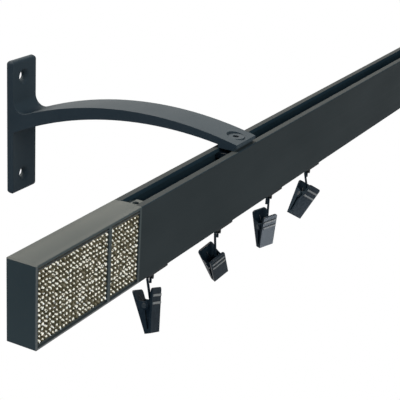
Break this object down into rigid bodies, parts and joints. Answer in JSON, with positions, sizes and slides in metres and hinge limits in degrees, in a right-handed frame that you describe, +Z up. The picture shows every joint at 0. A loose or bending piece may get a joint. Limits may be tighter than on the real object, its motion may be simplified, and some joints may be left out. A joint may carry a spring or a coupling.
{
  "type": "curtain rod",
  "caption": "Rectangular curtain rail with a clamping slot, arched wall brackets, jewelled end pieces and sliding clips on wire hooks.",
  "frame": {"origin": "midway between the two screw holes of the left bracket, on the back face of its wall plate", "axes": "+X along the rod to the right, +Y into the wall, +Z up"},
  "size_m": [1, 0.1399, 0.0908],
  "materials": {
    "anodised_rail": "dark satin anodising",
    "coated_black": "satin dark powder coat",
    "crystal": "foiled cut glass stones",
    "plug_metal": "dark satin coat",
    "dark_screw": "blackened steel",
    "glider_plastic": "moulded acetal",
    "hook_wire": "black lacquered wire",
    "clip_metal": "black lacquered steel sheet",
    "pin_steel": "dark steel",
    "spring_steel": "spring wire"
  },
  "bodies": {
    "rod": {"rail": "anodised_rail", "left_finial_body": "coated_black", "left_crystal_panel_large": "crystal", "left_crystal_panel_small": "crystal", "left_joining_plug": "plug_metal", "left_grub_screw": "dark_screw", "right_finial_body": "coated_black", "right_crystal_panel_large": "crystal", "right_crystal_panel_small": "crystal", "right_joining_plug": "plug_metal", "right_grub_screw": "dark_screw", "left_bracket": "coated_black", "left_clamp_screw": "dark_screw", "left_clamp_nut": "dark_screw"},
    "sliding_bracket": {"right_bracket": "coated_black", "right_clamp_screw": "dark_screw", "right_clamp_nut": "dark_screw"},
    "runner_1": {"glider_1": "glider_plastic"},
    "hanger_1": {"hook_1": "hook_wire"},
    "clip_1": {"front_jaw_1": "clip_metal", "hinge_pin_1": "pin_steel", "spring_1": "spring_steel"},
    "jaw_1": {"rear_jaw_1": "clip_metal"},
    "runner_2": {"glider_2": "glider_plastic"},
    "hanger_2": {"hook_2": "hook_wire"},
    "clip_2": {"rear_jaw_2": "clip_metal", "hinge_pin_2": "pin_steel", "spring_2": "spring_steel"},
    "jaw_2": {"front_jaw_2": "clip_metal"},
    "runner_3": {"glider_3": "glider_plastic"},
    "hanger_3": {"hook_3": "hook_wire"},
    "clip_3": {"rear_jaw_3": "clip_metal", "hinge_pin_3": "pin_steel", "spring_3": "spring_steel"},
    "jaw_3": {"front_jaw_3": "clip_metal"},
    "runner_4": {"glider_4": "glider_plastic"},
    "hanger_4": {"hook_4": "hook_wire"},
    "clip_4": {"rear_jaw_4": "clip_metal", "hinge_pin_4": "pin_steel", "spring_4": "spring_steel"},
    "jaw_4": {"front_jaw_4": "clip_metal"},
    "runner_5": {"glider_5": "glider_plastic"},
    "hanger_5": {"hook_5": "hook_wire"},
    "clip_5": {"rear_jaw_5": "clip_metal", "hinge_pin_5": "pin_steel", "spring_5": "spring_steel"},
    "jaw_5": {"front_jaw_5": "clip_metal"},
    "runner_6": {"glider_6": "glider_plastic"},
    "hanger_6": {"hook_6": "hook_wire"},
    "clip_6": {"rear_jaw_6": "clip_metal", "hinge_pin_6": "pin_steel", "spring_6": "spring_steel"},
    "jaw_6": {"front_jaw_6": "clip_metal"}
  },
  "joints": [
    {"name": "bracket_slide", "type": "slide", "parent": "rod", "child": "sliding_bracket", "axis": [1, 0, 0], "range_m": [-0.636, 0.073]},
    {"name": "glide_1", "type": "slide", "parent": "rod", "child": "runner_1", "axis": [1, 0, 0], "range_m": [-0.0137, 0.0156]},
    {"name": "swing_1", "type": "hinge", "parent": "runner_1", "child": "hanger_1", "pos_m": [-0.0768, -0.132, -0.02465], "axis": [0, 1, 0], "range_deg": [-30, 30]},
    {"name": "tilt_1", "type": "hinge", "parent": "hanger_1", "child": "clip_1", "pos_m": [-0.076, -0.132, -0.0392], "axis": [-0.9421, -0.0329, 0.3338], "range_deg": [-42, 2]},
    {"name": "squeeze_1", "type": "hinge", "parent": "clip_1", "child": "jaw_1", "pos_m": [-0.076, -0.132, -0.0392], "axis": [0.9421, 0.0329, -0.3338], "range_deg": [0, 18], "stiffness_Nm_per_rad": 0.01, "springref_deg": -28.65, "deforming": ["spring_1"]},
    {"name": "glide_2", "type": "slide", "parent": "rod", "child": "runner_2", "axis": [1, 0, 0], "range_m": [-0.0156, 0.013]},
    {"name": "swing_2", "type": "hinge", "parent": "runner_2", "child": "hanger_2", "pos_m": [-0.0136, -0.132, -0.02465], "axis": [0, 1, 0], "range_deg": [-30, 30]},
    {"name": "tilt_2", "type": "hinge", "parent": "hanger_2", "child": "clip_2", "pos_m": [-0.0137, -0.132, -0.0403], "axis": [0.7574, -0.4199, 0.5], "range_deg": [-34.5, 10.5]},
    {"name": "squeeze_2", "type": "hinge", "parent": "clip_2", "child": "jaw_2", "pos_m": [-0.0137, -0.132, -0.0403], "axis": [-0.7574, 0.4199, -0.5], "range_deg": [0, 18], "stiffness_Nm_per_rad": 0.01, "springref_deg": -28.65, "deforming": ["spring_2"]},
    {"name": "glide_3", "type": "slide", "parent": "rod", "child": "runner_3", "axis": [1, 0, 0], "range_m": [-0.013, 0.0091]},
    {"name": "swing_3", "type": "hinge", "parent": "runner_3", "child": "hanger_3", "pos_m": [0.0443, -0.132, -0.02465], "axis": [0, 1, 0], "range_deg": [-30, 30]},
    {"name": "tilt_3", "type": "hinge", "parent": "hanger_3", "child": "clip_3", "pos_m": [0.0433, -0.132, -0.0403], "axis": [0.8844, -0.4506, 0.1219], "range_deg": [-27, 16]},
    {"name": "squeeze_3", "type": "hinge", "parent": "clip_3", "child": "jaw_3", "pos_m": [0.0433, -0.132, -0.0403], "axis": [-0.8844, 0.4506, -0.1219], "range_deg": [0, 18], "stiffness_Nm_per_rad": 0.01, "springref_deg": -28.65, "deforming": ["spring_3"]},
    {"name": "glide_4", "type": "slide", "parent": "rod", "child": "runner_4", "axis": [1, 0, 0], "range_m": [-0.0091, 0.1522]},
    {"name": "swing_4", "type": "hinge", "parent": "runner_4", "child": "hanger_4", "pos_m": [0.0945, -0.132, -0.02465], "axis": [0, 1, 0], "range_deg": [-30, 30]},
    {"name": "tilt_4", "type": "hinge", "parent": "hanger_4", "child": "clip_4", "pos_m": [0.0947, -0.132, -0.0399], "axis": [0.7423, -0.4286, -0.515], "range_deg": [-17.5, 29.5]},
    {"name": "squeeze_4", "type": "hinge", "parent": "clip_4", "child": "jaw_4", "pos_m": [0.0947, -0.132, -0.0399], "axis": [-0.7423, 0.4286, 0.515], "range_deg": [0, 18], "stiffness_Nm_per_rad": 0.01, "springref_deg": -28.65, "deforming": ["spring_4"]},
    {"name": "glide_5", "type": "slide", "parent": "rod", "child": "runner_5", "axis": [1, 0, 0], "range_m": [-0.1522, 0.054]},
    {"name": "swing_5", "type": "hinge", "parent": "runner_5", "child": "hanger_5", "pos_m": [0.431, -0.132, -0.02465], "axis": [0, 1, 0], "range_deg": [-30, 30]},
    {"name": "tilt_5", "type": "hinge", "parent": "hanger_5", "child": "clip_5", "pos_m": [0.4325, -0.132, -0.0395], "axis": [0.9728, -0.2068, -0.1045], "range_deg": [-19, 25]},
    {"name": "squeeze_5", "type": "hinge", "parent": "clip_5", "child": "jaw_5", "pos_m": [0.4325, -0.132, -0.0395], "axis": [-0.9728, 0.2068, 0.1045], "range_deg": [0, 18], "stiffness_Nm_per_rad": 0.01, "springref_deg": -28.65, "deforming": ["spring_5"]},
    {"name": "glide_6", "type": "slide", "parent": "rod", "child": "runner_6", "axis": [1, 0, 0], "range_m": [-0.054, 0.175]},
    {"name": "swing_6", "type": "hinge", "parent": "runner_6", "child": "hanger_6", "pos_m": [0.571, -0.132, -0.02465], "axis": [0, 1, 0], "range_deg": [-30, 30]},
    {"name": "tilt_6", "type": "hinge", "parent": "hanger_6", "child": "clip_6", "pos_m": [0.5695, -0.132, -0.0395], "axis": [0.954, 0.2556, 0.1564], "range_deg": [-23, 20]},
    {"name": "squeeze_6", "type": "hinge", "parent": "clip_6", "child": "jaw_6", "pos_m": [0.5695, -0.132, -0.0395], "axis": [-0.954, -0.2556, -0.1564], "range_deg": [0, 18], "stiffness_Nm_per_rad": 0.01, "springref_deg": -28.65, "deforming": ["spring_6"]}
  ]
}
